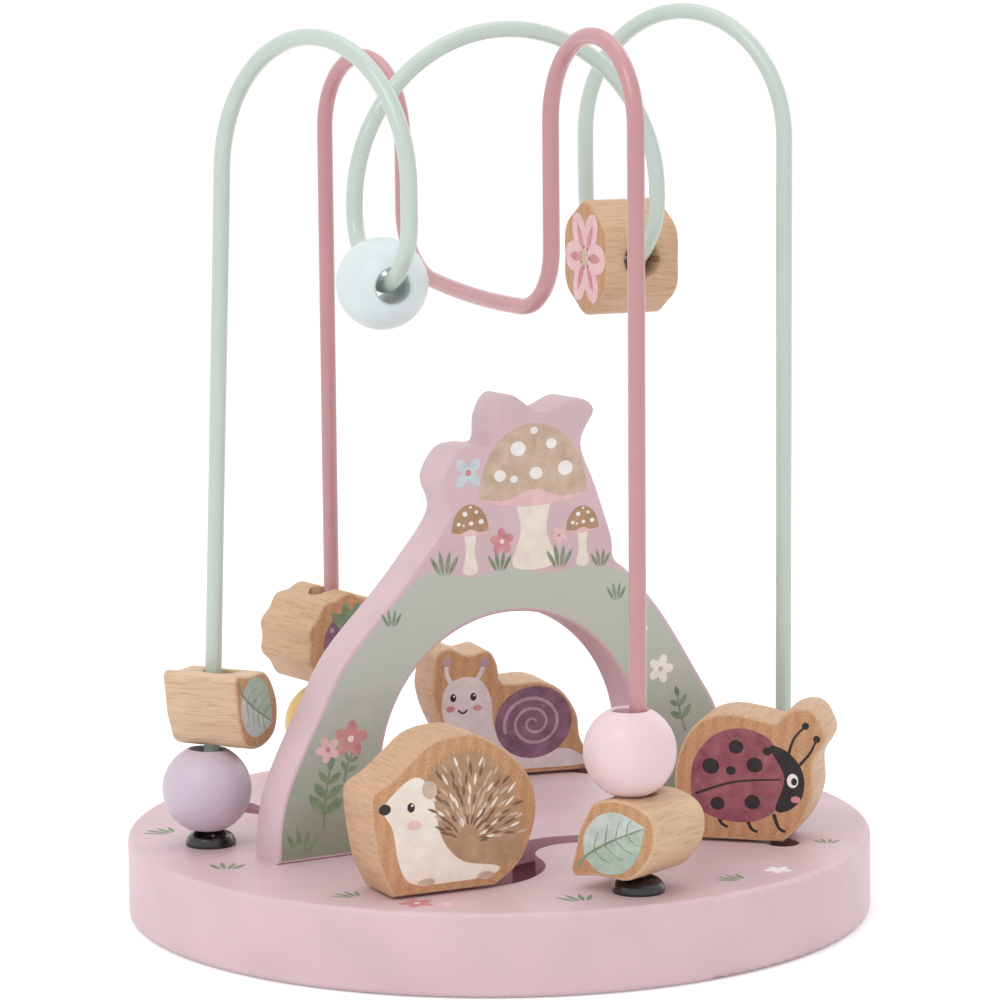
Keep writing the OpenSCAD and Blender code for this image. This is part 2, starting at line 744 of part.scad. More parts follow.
base_deck();
base_cover();
cover_screws();
arch_panel();
panel_screws();
mint_wire();
pink_wire();
wire_locks();
mint_left_collar();
mint_right_collar();
pink_front_collar();
pink_rear_collar();
lavender_ball();
leaf_bead_left();
leaf_bead_front();
pink_ball();
yellow_ball();
berry_bead();
mint_ball();
flower_bead();
hedgehog_block();
hedgehog_slider();
hedgehog_screw();
snail_block();
snail_slider();
snail_screw();
ladybird_block();
ladybird_slider();
ladybird_screw();
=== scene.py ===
import math
import random

import bmesh
import bpy
from mathutils import Matrix, Vector


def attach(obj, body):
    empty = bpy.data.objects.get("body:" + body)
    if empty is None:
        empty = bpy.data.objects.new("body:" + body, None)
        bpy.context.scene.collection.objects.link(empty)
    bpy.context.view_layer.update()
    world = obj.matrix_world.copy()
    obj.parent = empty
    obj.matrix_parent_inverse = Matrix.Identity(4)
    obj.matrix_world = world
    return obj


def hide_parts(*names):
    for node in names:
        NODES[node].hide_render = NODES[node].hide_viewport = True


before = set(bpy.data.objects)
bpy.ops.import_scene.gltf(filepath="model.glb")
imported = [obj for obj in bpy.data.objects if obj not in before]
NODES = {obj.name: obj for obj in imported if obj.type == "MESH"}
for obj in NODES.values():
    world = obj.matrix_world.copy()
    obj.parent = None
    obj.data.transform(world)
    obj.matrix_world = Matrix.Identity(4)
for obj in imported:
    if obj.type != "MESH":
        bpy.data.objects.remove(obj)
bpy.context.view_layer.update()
MM = 0.001


# Materials

def linear(r, g, b):
    """Display colour in 0 to 255 as a linear one."""
    def one(c):
        c /= 255
        return c / 12.92 if c <= 0.04045 else ((c + 0.055) / 1.055) ** 2.4
    return (one(r), one(g), one(b), 1.0)


def new_material(name):
    m = bpy.data.materials.new(name)
    m.use_nodes = True
    tree = m.node_tree
    tree.nodes.clear()
    out = tree.nodes.new("ShaderNodeOutputMaterial")
    bsdf = tree.nodes.new("ShaderNodeBsdfPrincipled")
    tree.links.new(bsdf.outputs["BSDF"], out.inputs["Surface"])
    return m, tree, bsdf


def coords(tree, scale=(1, 1, 1), turn=(0, 0, 0)):
    """Object coordinates in millimetres, turned and then scaled."""
    tc = tree.nodes.new("ShaderNodeTexCoord")
    mp = tree.nodes.new("ShaderNodeMapping")
    mp.vector_type = "TEXTURE"
    mp.inputs["Rotation"].default_value = turn
    mp.inputs["Scale"].default_value = [MM / s for s in scale]
    tree.links.new(tc.outputs["Object"], mp.inputs["Vector"])
    return mp.outputs["Vector"]


def noise(tree, vec, scale, detail=2.0, rough=0.5):
    n = tree.nodes.new("ShaderNodeTexNoise")
    n.inputs["Scale"].default_value = scale
    n.inputs["Detail"].default_value = detail
    n.inputs["Roughness"].default_value = rough
    tree.links.new(vec, n.inputs["Vector"])
    return n.outputs["Fac"]


def ramp(tree, fac, stops):
    r = tree.nodes.new("ShaderNodeValToRGB")
    e = r.color_ramp.elements
    while len(e) < len(stops):
        e.new(0.5)
    for el, (pos, col) in zip(e, stops):
        el.position = pos
        el.color = col
    tree.links.new(fac, r.inputs["Fac"])
    return r.outputs["Color"]


def mix(tree, fac, a, b, mode="MIX"):
    n = tree.nodes.new("ShaderNodeMix")
    n.data_type = "RGBA"
    n.blend_type = mode
    for sock, val in ((n.inputs[0], fac), (n.inputs[6], a), (n.inputs[7], b)):
        if isinstance(val, (int, float, tuple)):
            sock.default_value = val
        else:
            tree.links.new(val, sock)
    return n.outputs[2]


def bump(tree, bsdf, height, distance):
    b = tree.nodes.new("ShaderNodeBump")
    b.inputs["Distance"].default_value = distance
    b.inputs["Strength"].default_value = 1.0
    tree.links.new(height, b.inputs["Height"])
    tree.links.new(b.outputs["Normal"], bsdf.inputs["Normal"])


def paint(name, rgb, rough=0.38, spread=0.05, orange_peel=0.00002, coat=0.0):
    """Sprayed colour with faint clouding and a fine skin."""
    m, t, b = new_material(name)
    v = coords(t)
    base = linear(*rgb)
    dark = tuple(c * (1 - spread) for c in base[:3]) + (1.0,)
    light = tuple(min(1.0, c * (1 + spread)) for c in base[:3]) + (1.0,)
    t.links.new(ramp(t, noise(t, v, 0.05, 4), [(0.3, dark), (0.7, light)]), b.inputs["Base Color"])
    b.inputs["Roughness"].default_value = rough
    b.inputs["Specular IOR Level"].default_value = 0.45
    b.inputs["Coat Weight"].default_value = coat
    b.inputs["Coat Roughness"].default_value = 0.12
    bump(t, b, noise(t, v, 0.9, 3), orange_peel)
    return m


def beech(name, turn, rgb):
    """Lacquered beech with its grain along X after the turn, and the short dark flecks of beech."""
    m, t, b = new_material(name)
    v = coords(t, (0.05, 0.5, 0.5), turn)
    fine = noise(t, v, 2.2, 6, 0.6)
    base = linear(*rgb)[:3]
    dark = (base[0] * 0.82, base[1] * 0.76, base[2] * 0.68, 1.0)
    light = (min(1, base[0] * 1.08), base[1] * 1.08, base[2] * 1.08, 1.0)
    col = ramp(t, fine, [(0.3, dark), (0.5, base + (1.0,)), (0.75, light)])
    flecks = noise(t, coords(t, (0.28, 2.6, 2.6), turn), 1.0, 2, 0.4)
    mask = ramp(t, flecks, [(0.6, (0, 0, 0, 1)), (0.72, (1, 1, 1, 1))])
    col = mix(t, mix(t, 1.0, mask, (0.34, 0.34, 0.34, 1.0), "MULTIPLY"), col,
              (base[0] * 0.55, base[1] * 0.44, base[2] * 0.33, 1.0))
    t.links.new(col, b.inputs["Base Color"])
    b.inputs["Roughness"].default_value = 0.5
    b.inputs["Specular IOR Level"].default_value = 0.35
    bump(t, b, fine, 0.00004)
    return m


def end_grain(name, turn, rgb=(208, 160, 121)):
    """Sawn and lacquered end of beech: darker, with soft year rings and fine pores."""
    m, t, b = new_material(name)
    v = coords(t, turn=(0, 0, turn))
    split = t.nodes.new("ShaderNodeMapping")
    split.inputs["Scale"].default_value = (1.0, 1.0, 0.28)
    split.inputs["Rotation"].default_value = (0.35, 0, 0)
    t.links.new(v, split.inputs["Vector"])
    rings = t.nodes.new("ShaderNodeTexWave")
    rings.bands_direction = "Y"
    rings.inputs["Scale"].default_value = 0.09
    rings.inputs["Distortion"].default_value = 2.2
    rings.inputs["Detail"].default_value = 2.0
    rings.inputs["Detail Scale"].default_value = 0.4
    t.links.new(split.outputs["Vector"], rings.inputs["Vector"])
    base = linear(*rgb)[:3]
    dark = tuple(c * f for c, f in zip(base, (0.92, 0.88, 0.84))) + (1.0,)
    col = ramp(t, rings.outputs["Fac"], [(0.25, dark), (0.7, base + (1.0,))])
    pores = ramp(t, noise(t, v, 2.4, 2, 0.6), [(0.36, (0.78, 0.74, 0.7, 1.0)), (0.5, (1, 1, 1, 1))])
    t.links.new(mix(t, 1.0, col, pores, "MULTIPLY"), b.inputs["Base Color"])
    b.inputs["Roughness"].default_value = 0.5
    b.inputs["Specular IOR Level"].default_value = 0.35
    bump(t, b, noise(t, v, 2.4, 2, 0.6), 0.00002)
    return m


def plain(name, rgb, rough=0.5, metal=0.0):
    m, t, b = new_material(name)
    v = coords(t)
    base = linear(*rgb)
    dark = tuple(c * 0.94 for c in base[:3]) + (1.0,)
    t.links.new(ramp(t, noise(t, v, 0.3, 3), [(0.3, dark), (0.7, base)]), b.inputs["Base Color"])
    b.inputs["Roughness"].default_value = rough
    b.inputs["Metallic"].default_value = metal
    return m


def wall_shade_and_board_colour(m, rgb, rim):
    """Another colour inside a rim on what doesn't look up: painted shade on the walls of slots, and the
    board's own bare colour on a board's underside.
    """
    t = m.node_tree
    bsdf = next(n for n in t.nodes if n.type == "BSDF_PRINCIPLED")
    col = bsdf.inputs["Base Color"].links[0].from_socket
    flat = t.nodes.new("ShaderNodeVectorMath")
    flat.operation = "MULTIPLY"
    flat.inputs[1].default_value = (1, 1, 0)
    tc = t.nodes.new("ShaderNodeTexCoord")
    t.links.new(tc.outputs["Object"], flat.inputs[0])
    length = t.nodes.new("ShaderNodeVectorMath")
    length.operation = "LENGTH"
    t.links.new(flat.outputs["Vector"], length.inputs[0])
    inside = t.nodes.new("ShaderNodeMath")
    inside.operation = "LESS_THAN"
    inside.inputs[1].default_value = rim * MM
    t.links.new(length.outputs["Value"], inside.inputs[0])
    split = t.nodes.new("ShaderNodeSeparateXYZ")
    t.links.new(tc.outputs["Normal"], split.inputs["Vector"])
    wall = t.nodes.new("ShaderNodeMath")
    wall.operation = "LESS_THAN"
    wall.inputs[1].default_value = 0.5
    t.links.new(split.outputs["Z"], wall.inputs[0])
    both = t.nodes.new("ShaderNodeMath")
    both.operation = "MULTIPLY"
    t.links.new(inside.outputs["Value"], both.inputs[0])
    t.links.new(wall.outputs["Value"], both.inputs[1])
    t.links.new(mix(t, both.outputs["Value"], col, linear(*rgb)), bsdf.inputs["Base Color"])


# The darker groove pink is painted shade, on the deck's slot walls and on the cover's top at the floor of the
# slots.
PINK, SHADED_GROOVE_PINK = (220, 192, 198), (206, 164, 174)
SLOT_RIM = 97.0
pink_paint = paint("pink_paint", PINK, 0.42)
wall_shade_and_board_colour(pink_paint, SHADED_GROOVE_PINK, SLOT_RIM)
mint_coat = paint("mint_coat", (197, 212, 202), 0.22, 0.02, 0.000008, 0.4)
rose_coat = paint("rose_coat", (201, 146, 149), 0.22, 0.02, 0.000008, 0.4)
black_plastic = paint("black_plastic", (18, 17, 18), 0.16, 0.05, 0.000004, 0.5)
ball_paints = {
    "lavender_ball": paint("lavender_paint", (210, 194, 208), 0.36, 0.03),
    "pink_ball": paint("pale_pink_paint", (238, 211, 215), 0.36, 0.03),
    "yellow_ball": paint("yellow_paint", (229, 192, 106), 0.36, 0.03),
    "mint_ball": paint("pale_mint_paint", (221, 232, 233), 0.36, 0.03),
}
# The cover's top takes the groove pink as painted shade. Its underside and edges inside the rim keep the bare
# board's tan.
board = paint("cover_top_shade_paint", SHADED_GROOVE_PINK, 0.5)
wall_shade_and_board_colour(board, (178, 142, 104), SLOT_RIM)
steel = plain("steel", (178, 178, 178), 0.35, 1.0)
white_plastic = plain("white_plastic", (226, 226, 222), 0.45)


def dress(node, material):
    me = NODES[node].data
    me.materials.clear()
    me.materials.append(material)


dress("base_deck", pink_paint)
dress("base_cover", board)
for name in ("cover_screws", "panel_screws", "wire_locks", "hedgehog_screw", "snail_screw", "ladybird_screw"):
    dress(name, steel)
for name in ("hedgehog_slider", "snail_slider", "ladybird_slider"):
    dress(name, white_plastic)
for name in ("mint_left_collar", "mint_right_collar", "pink_front_collar", "pink_rear_collar"):
    dress(name, black_plastic)
for name, m in ball_paints.items():
    dress(name, m)


# Pieces with softened edges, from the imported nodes

def rounded(node, body, normal, materials, width, segments=3):
    """Copy of an extruded node with the edges of its two flat ends rounded. It shows in the node's place.
    The two ends take the second material."""
    bm = bmesh.new()
    bm.from_mesh(NODES[node].data)
    bmesh.ops.remove_doubles(bm, verts=bm.verts, dist=1e-6)
    bmesh.ops.dissolve_limit(bm, angle_limit=math.radians(0.4), verts=bm.verts, edges=bm.edges)
    bm.normal_update()
    axis = Vector(normal).normalized()

    def is_end(f):
        return abs(f.normal.dot(axis)) > 0.999

    rims = [e for e in bm.edges if len(e.link_faces) == 2
            and is_end(e.link_faces[0]) != is_end(e.link_faces[1])]
    bmesh.ops.bevel(bm, geom=rims, offset=width * MM, offset_type="OFFSET", segments=segments,
                    profile=0.5, affect="EDGES", clamp_overlap=False)
    bm.normal_update()
    for f in bm.faces:
        f.smooth = True
        f.material_index = 1 if abs(f.normal.dot(axis)) > 0.9995 and len(materials) > 1 else 0
    me = bpy.data.meshes.new(node + "_soft")
    bm.to_mesh(me)
    bm.free()
    for m in materials:
        me.materials.append(m)
    me.set_sharp_from_angle(angle=math.radians(35))
    o = bpy.data.objects.new(node + "_soft", me)
    bpy.context.scene.collection.objects.link(o)
    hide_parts(node)
    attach(o, body)
    return o


def plan(a):
    """Level unit vector in the plan direction a, in degrees."""
    return Vector((math.cos(math.radians(a)), math.sin(math.radians(a)), 0.0))


WOOD_EDGE, PANEL_EDGE = 0.7, 0.9
# Plan direction along each animal
HEDGEHOG, SNAIL, LADYBIRD = -3.5, -11.6, -45.8
BLOCKS = {
    "hedgehog_block": ("hedgehog", HEDGEHOG, (210, 171, 137)),
    "snail_block": ("snail", SNAIL, (212, 176, 143)),
    "ladybird_block": ("ladybird", LADYBIRD, (212, 175, 142)),
}
for node, (body, a, rgb) in BLOCKS.items():
    grain = beech(node + "_beech", (0, 0, math.radians(a - 90)), rgb)
    end = end_grain(node + "_end", math.radians(a - 90))
    rounded(node, body, plan(a - 90), [grain, end], WOOD_EDGE)

# Direction of the leaning left leg, along which its beads slide
LEAN = Vector((0.043956, 0.008791, 0.998995))


def square_to(v, d):
    return (v - d * v.dot(d)).normalized()


BEADS = {
    "leaf_bead_left": ("left_leaf", square_to(plan(-52), LEAN), (222, 191, 160)),
    "leaf_bead_front": ("front_leaf", plan(201), (217, 184, 150)),
    "berry_bead": ("berry", plan(-85), (211, 175, 139)),
    "flower_bead": ("flower", plan(172.2), (212, 176, 143)),
}
for node, (body, n, rgb) in BEADS.items():
    a = math.atan2(n.y, n.x)
    grain = beech(node + "_beech", (0, 0, a), rgb)
    rounded(node, body, n, [grain, end_grain(node + "_end", a)], WOOD_EDGE)

panel_paint = paint("panel_paint", (217, 188, 194), 0.42)
rounded("arch_panel", "base", (0, -1, 0), [panel_paint], PANEL_EDGE)


# Wires as smooth tubes along the same bends

WIRE_D = 4.36
STUB_TOP = 26.2
WIRE_END = 4.0
KNEE_R = 30.0
HUMP_STEPS, CORNER_STEPS, BOTTOM_STEPS, KNEE_STEPS = 48, 14, 24, 6


def arc(cx, cz, r, a, b, n):
    return [(cx + r * math.cos(math.radians(a + (b - a) * i / n)),
             cz + r * math.sin(math.radians(a + (b - a) * i / n))) for i in range(1, n + 1)]


def in_plane(p, q, pts):
    p, q = Vector(p), Vector(q)
    mid, way = (p + q) / 2, (q - p).normalized()
    return [Vector((mid.x + way.x * x, mid.y + way.y * x, z)) for x, z in pts]


def hump(p, q, z):
    a = (Vector(q) - Vector(p)).length / 2
    return in_plane(p, q, [(-a, z)] + arc(0, z, a, 180, 0, HUMP_STEPS))


def trough(p, q, z, drop, share, tilt=0.0):
    """Trough whose end at q is higher by twice the tilt."""
    a = (Vector(q) - Vector(p)).length / 2
    c = share * drop
    r = ((a - c) ** 2 + drop ** 2 - c ** 2) / (2 * (drop - c))
    half = math.degrees(math.atan2(a - c, r - drop))
    line = ([(-a, z)] + arc(c - a, z, c, 180, 270 - half, CORNER_STEPS)
            + arc(0, z + r - drop, r, 270 - half, 270 + half, BOTTOM_STEPS)
            + arc(a - c, z, c, 270 + half, 360, CORNER_STEPS))
    return in_plane(p, q, [(x, h + tilt * x / a) for x, h in line])


def leaning_leg(foot, top, z):
    """Straight between two soft knees."""
    r = KNEE_R
    d, h = (Vector(top) - Vector(foot)).length, z - STUB_TOP
    t = math.degrees(math.asin(2 * r / math.hypot(h, 2 * r - d)) - math.atan2(2 * r - d, h))
    upper = [(d - r + r * math.cos(math.radians(t)), h - r * math.sin(math.radians(t)))]
    upper += arc(d - r, h, r, -t, 0, KNEE_STEPS)[:-1]
    line = [(0, 0)] + arc(r, 0, r, 180, 180 - t, KNEE_STEPS) + upper
    way = (Vector(top) - Vector(foot)).normalized()
    return [Vector((foot[0] + way.x * x, foot[1] + way.y * x, STUB_TOP + s)) for x, s in line]


def tube(name, node, material, line, sides=24):
    """Closed round tube along a line in millimetres that shows in a wire's place."""
    pts = [line[0]]
    for p in line[1:]:
        if (p - pts[-1]).length > 1e-3:
            pts.append(p)
    last = len(pts) - 1
    ways = [(pts[min(i + 1, last)] - pts[max(i - 1, 0)]).normalized() for i in range(last + 1)]
    side = square_to(Vector((1, 0, 0)), ways[0])
    verts, faces = [], []
    for i, p in enumerate(pts):
        side = square_to(side, ways[i])
        other = ways[i].cross(side)
        for k in range(sides):
            t = 2 * math.pi * k / sides
            verts.append((p + (side * math.cos(t) + other * math.sin(t)) * WIRE_D / 2) * MM)
    for i in range(last):
        for k in range(sides):
            n = (k + 1) % sides
            faces.append((i * sides + k, i * sides + n, (i + 1) * sides + n, (i + 1) * sides + k))
    faces.append(tuple(range(sides - 1, -1, -1)))
    faces.append(tuple(last * sides + k for k in range(sides)))
    me = bpy.data.meshes.new(name)
    me.from_pydata(verts, [], faces)
    for f in me.polygons:
        f.use_smooth = True
    me.set_sharp_from_angle(angle=math.radians(40))
    me.materials.append(material)
    o = bpy.data.objects.new(name, me)
    bpy.context.scene.collection.objects.link(o)
    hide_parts(node)
    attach(o, "base")


def foot_end(p):
    return Vector((p[0], p[1], WIRE_END))


LEFT_FOOT, LEFT_TOP, RIGHT_FOOT = (-76.5, 20.5), (-69.0, 22.0), (78.0, -21.5)
LEFT_FRONT, LEFT_REAR = (-52.5, -49.0), (-42.0, -0.5)
RIGHT_FRONT, RIGHT_REAR = (47.0, -6.5), (53.5, 41.0)
LEFT_SPRING, MIDDLE_SPRING, RIGHT_SPRING = 198.0, 190.5, 205.0
# Start, drop and corner share of each trough, and the tilt of the pink one
LEFT_TROUGH, RIGHT_TROUGH = (189.5, 17.5, 0.7), (189.5, 20.0, 0.8)
PINK_TROUGH = (183.0, 18.0, 0.95, 3.0)
tube("mint_tube", "mint_wire", mint_coat,
     [foot_end(LEFT_FOOT)] + leaning_leg(LEFT_FOOT, LEFT_TOP, LEFT_SPRING)
     + hump(LEFT_TOP, LEFT_FRONT, LEFT_SPRING)
     + trough(LEFT_FRONT, LEFT_REAR, *LEFT_TROUGH)
     + hump(LEFT_REAR, RIGHT_FRONT, MIDDLE_SPRING)
     + trough(RIGHT_FRONT, RIGHT_REAR, *RIGHT_TROUGH)
     + hump(RIGHT_REAR, RIGHT_FOOT, RIGHT_SPRING) + [foot_end(RIGHT_FOOT)])
FRONT_FOOT, FRONT_STRAND = (-8.5, -84.5), (-6.5, -40.5)
REAR_STRAND, REAR_FOOT = (-6.0, 39.0), (-8.0, 80.5)
FRONT_SPRING, REAR_SPRING = 212.5, 206.0
tube("pink_tube", "pink_wire", rose_coat,
     [foot_end(FRONT_FOOT)] + hump(FRONT_FOOT, FRONT_STRAND, FRONT_SPRING)
     + trough(FRONT_STRAND, REAR_STRAND, *PINK_TROUGH)
     + hump(REAR_STRAND, REAR_FOOT, REAR_SPRING) + [foot_end(REAR_FOOT)])


# Printed designs: thin plates of paint on the flat faces

def wash(name, dark, light, scale=0.25, rough=0.5):
    """Paint with the soft clouding of a watercolour wash."""
    m, t, b = new_material(name)
    v = coords(t)
    cloud = noise(t, v, scale, 6, 0.62)
    t.links.new(ramp(t, cloud, [(0.32, linear(*dark)), (0.68, linear(*light))]), b.inputs["Base Color"])
    b.inputs["Roughness"].default_value = rough
    b.inputs["Specular IOR Level"].default_value = 0.35
    return m


def graded_wash_and_shade(name, low, high, z0, z1):
    """Watercolour wash that goes from one colour at the height z0 to another at z1; the darker low end is
    partly the print's own grading and partly painted shade.
    """
    m, t, b = new_material(name)
    v = coords(t)
    split = t.nodes.new("ShaderNodeSeparateXYZ")
    t.links.new(v, split.inputs["Vector"])
    level = t.nodes.new("ShaderNodeMapRange")
    level.inputs["From Min"].default_value = z0
    level.inputs["From Max"].default_value = z1
    t.links.new(split.outputs["Z"], level.inputs["Value"])
    cloud = t.nodes.new("ShaderNodeMath")
    cloud.operation = "MULTIPLY_ADD"
    t.links.new(noise(t, v, 0.09, 6, 0.62), cloud.inputs[0])
    cloud.inputs[1].default_value = 0.5
    t.links.new(level.outputs["Result"], cloud.inputs[2])
    shade = ramp(t, cloud.outputs["Value"], [(0.25, linear(*low)), (1.0, linear(*high))])
    t.links.new(shade, b.inputs["Base Color"])
    b.inputs["Roughness"].default_value = 0.5
    b.inputs["Specular IOR Level"].default_value = 0.35
    return m


# Heights between which the arch's wash goes from dark to pale; the dark low part is partly painted shade.
SAGE_LOW, SAGE_HIGH = 22, 78
SAGE = graded_wash_and_shade("sage_wash_and_shade", (147, 152, 134), (195, 200, 190), SAGE_LOW, SAGE_HIGH)
LEAF = wash("leaf_wash", (112, 134, 104), (152, 168, 140))
PALE_LEAF = wash("pale_leaf_wash", (184, 196, 188), (212, 219, 214))
SOFT_LEAF = wash("soft_leaf_wash", (160, 180, 166), (190, 206, 194))
TAN = wash("tan_wash", (196, 167, 144), (218, 196, 176))
BROWN = wash("brown_wash", (166, 130, 100), (192, 158, 126))
DARK_BROWN = wash("dark_brown_wash", (116, 86, 64), (140, 108, 84))
CREAM = wash("cream_wash", (236, 222, 208), (248, 238, 228))
WHITE = wash("white_wash", (240, 236, 232), (252, 250, 248))
ROSE = wash("rose_wash", (200, 124, 130), (224, 162, 164))
BLUSH = wash("blush_wash", (230, 184, 188), (242, 206, 208))
PLUM = wash("plum_wash", (122, 84, 106), (154, 116, 136))
PALE_PLUM = wash("pale_plum_wash", (174, 140, 156), (198, 168, 180))
BERRY = wash("berry_wash", (136, 72, 86), (170, 104, 114))
INK = wash("ink_wash", (40, 34, 36), (58, 50, 52))
LILAC = wash("lilac_wash", (220, 204, 206), (238, 226, 226))
PALE_BLUE = wash("pale_blue_wash", (196, 208, 216), (220, 229, 234))


def ellipse(x, y, rx, ry=None, turn=0.0, n=28):
    ry = rx if ry is None else ry
    c, s = math.cos(math.radians(turn)), math.sin(math.radians(turn))
    pts = []
    for i in range(n):
        t = 2 * math.pi * i / n
        a, b = rx * math.cos(t), ry * math.sin(t)
        pts.append((x + a * c - b * s, y + a * s + b * c))
    return pts


def leaf(x, y, length, width, turn, n=10):
    """Pointed leaf that starts at x, y."""
    c, s = math.cos(math.radians(turn)), math.sin(math.radians(turn))
    edge = [(length * i / n, width / 2 * math.sin(math.pi * i / n) ** 0.85) for i in range(n + 1)]
    line = edge + [(a, -b) for a, b in reversed(edge[1:-1])]
    return [(x + a * c - b * s, y + a * s + b * c) for a, b in line]


def stroke(line, w0, w1=None):
    """Band along a line, from one width to another."""
    w1 = w0 if w1 is None else w1
    last = len(line) - 1
    left, right = [], []
    for i, (x, y) in enumerate(line):
        ax, ay = line[max(i - 1, 0)]
        bx, by = line[min(i + 1, last)]
        d = math.hypot(bx - ax, by - ay)
        nx, ny = -(by - ay) / d, (bx - ax) / d
        w = (w0 + (w1 - w0) * i / last) / 2
        left.append((x + nx * w, y + ny * w))
        right.append((x - nx * w, y - ny * w))
    return left + right[::-1]


def curve(points, steps=6):
    """Smooth open line through points."""
    out = []
    for i in range(len(points) - 1):
        p0, p1 = points[max(i - 1, 0)], points[i]
        p2, p3 = points[i + 1], points[min(i + 2, len(points) - 1)]
        for k in range(steps):
            t = k / steps
            out.append(tuple((2 * b + (c - a) * t + (2 * a - 5 * b + 4 * c - d) * t * t
                              + (3 * b - a - 3 * c + d) * t ** 3) / 2
                             for a, b, c, d in zip(p0, p1, p2, p3)))
    return out + [points[-1]]


def closed(points, steps=6):
    """Smooth closed outline through points."""
    n = len(points)
    ring = [points[-1]] + points + points[:2]
    out = []
    for i in range(1, n + 1):
        p0, p1, p2, p3 = ring[i - 1], ring[i], ring[i + 1], ring[i + 2]
        for k in range(steps):
            t = k / steps
            out.append(tuple((2 * b + (c - a) * t + (2 * a - 5 * b + 4 * c - d) * t * t
                              + (3 * b - a - 3 * c + d) * t ** 3) / 2
                             for a, b, c, d in zip(p0, p1, p2, p3)))
    return out


def blossom(x, y, r, petals, turn, colour, heart, layer=1):
    shapes = []
    for k in range(petals):
        a = turn + 360 * k / petals
        d = r * 0.58
        shapes.append((ellipse(x + d * math.cos(math.radians(a)), y + d * math.sin(math.radians(a)),
                               r * 0.5, r * 0.34, a, 14), layer + 0.2 * (k % 2), colour))
    shapes.append((ellipse(x, y, r * 0.2, n=10), layer + 1, heart))
    return shapes


def sprig(x, y, height, turn, colour, pairs=3, layer=1):
    """Stem with pairs of leaves."""
    c, s = math.cos(math.radians(turn)), math.sin(math.radians(turn))
    shapes = [(stroke([(x, y), (x + c * height * 0.5 - s * 0.4, y + s * height * 0.5 + c * 0.4),
                       (x + c * height, y + s * height)], 0.7, 0.35), layer, colour)]
    for k in range(pairs):
        d = height * (k + 1) / (pairs + 0.4)
        size = height * 0.42 * (1 - 0.18 * k)
        for side in (-1, 1):
            shapes.append((leaf(x + c * d * 0.8, y + s * d * 0.8, size, size * 0.4, turn + side * 48),
                           layer + 0.3, colour))
    tip = leaf(x + c * height * 0.9, y + s * height * 0.9, height * 0.3, height * 0.13, turn)
    shapes.append((tip, layer, colour))
    return shapes


def tuft(x, y, height, colour, layer=1, turn=90, blades=4):
    """Blades of grass that fan out round the direction turn."""
    c, s = math.cos(math.radians(turn)), math.sin(math.radians(turn))
    shapes = []
    for k in range(blades):
        aside = k - (blades - 1) / 2
        blade = leaf(x + aside * height * 0.12 * s, y - aside * height * 0.12 * c,
                     height * (1 - 0.12 * abs(k - 1.3)), height * 0.17, turn - aside * 20, 6)
        shapes.append((blade, layer + 0.1 * k, colour))
    return shapes


# Height of the lowest plate over its face, of one layer and of one plate in it, and how deep plates start
PLATE_LIFT, LAYER_STEP, ORDER_STEP, PLATE_SINK = 0.02, 0.02, 0.0004, 0.05


def decal(name, body, origin, u, normal, shapes):
    """One piece with all the plates of a face. Each shape is an outline in millimetres on the face,
    a layer number and a material."""
    u, n = Vector(u).normalized(), Vector(normal).normalized()
    v = n.cross(u)
    base = Vector(origin)
    bm = bmesh.new()
    mats = []
    for i, (pts, layer, material) in enumerate(shapes):
        if material not in mats:
            mats.append(material)
        index = mats.index(material)
        top = PLATE_LIFT + LAYER_STEP * layer + ORDER_STEP * i
        rings = [[bm.verts.new((base + u * x + v * y + n * h) * MM) for x, y in pts]
                 for h in (-PLATE_SINK, top)]
        if sum(a[0] * b[1] - b[0] * a[1] for a, b in zip(pts, pts[1:] + pts[:1])) < 0:
            rings = [r[::-1] for r in rings]
        low, high = rings
        faces = [bm.faces.new(high), bm.faces.new(low[::-1])]
        for k in range(len(low)):
            j = (k + 1) % len(low)
            faces.append(bm.faces.new((low[k], low[j], high[j], high[k])))
        for f in faces:
            f.material_index = index
    me = bpy.data.meshes.new(name)
    bm.to_mesh(me)
    bm.free()
    for m in mats:
        me.materials.append(m)
    o = bpy.data.objects.new(name, me)
    bpy.context.scene.collection.objects.link(o)
    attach(o, body)
    return o


def mirrored(shapes):
    """A face's design for the face behind it."""
    return [([(-x, y) for x, y in pts], layer, m) for pts, layer, m in shapes]


draw = random.Random(11)


# Hedgehog: a spiny dome, a pale face to the left and small feet

